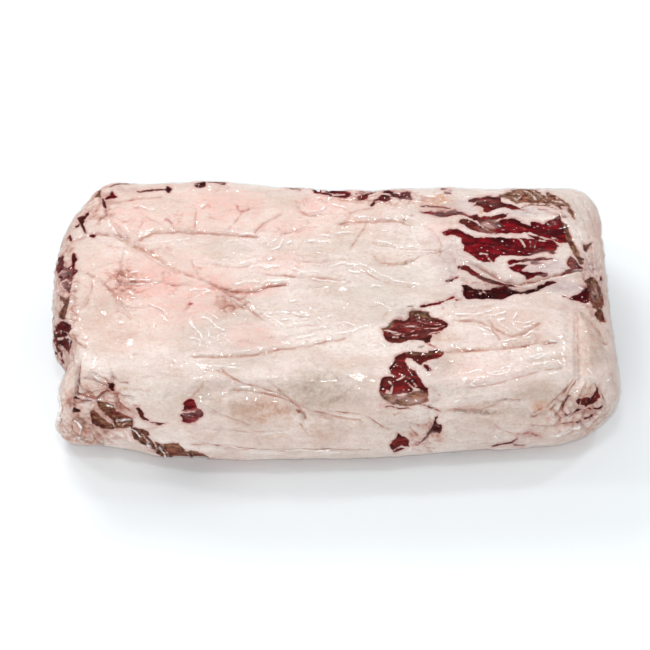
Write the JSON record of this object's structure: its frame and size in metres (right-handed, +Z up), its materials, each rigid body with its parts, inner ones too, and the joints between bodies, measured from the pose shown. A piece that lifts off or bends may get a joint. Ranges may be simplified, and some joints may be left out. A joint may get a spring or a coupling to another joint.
{
  "type": "beef ribeye",
  "caption": "Whole boneless beef ribeye, lip on, fat side up in a clear shrunk vacuum bag; it lies on its flat underside.",
  "frame": {"origin": "on the floor under the middle of the piece's box", "axes": "+X along the muscle towards the rounded loin end, +Y towards the back wall, +Z up through the fat side"},
  "size_m": [0.453, 0.2372, 0.0988],
  "materials": {
    "bagged_fat": "cream and pink beef fat with dark red lean under glossy clear film"
  },
  "bodies": {
    "root": {"bagged_ribeye": "bagged_fat"}
  },
  "joints": []
}
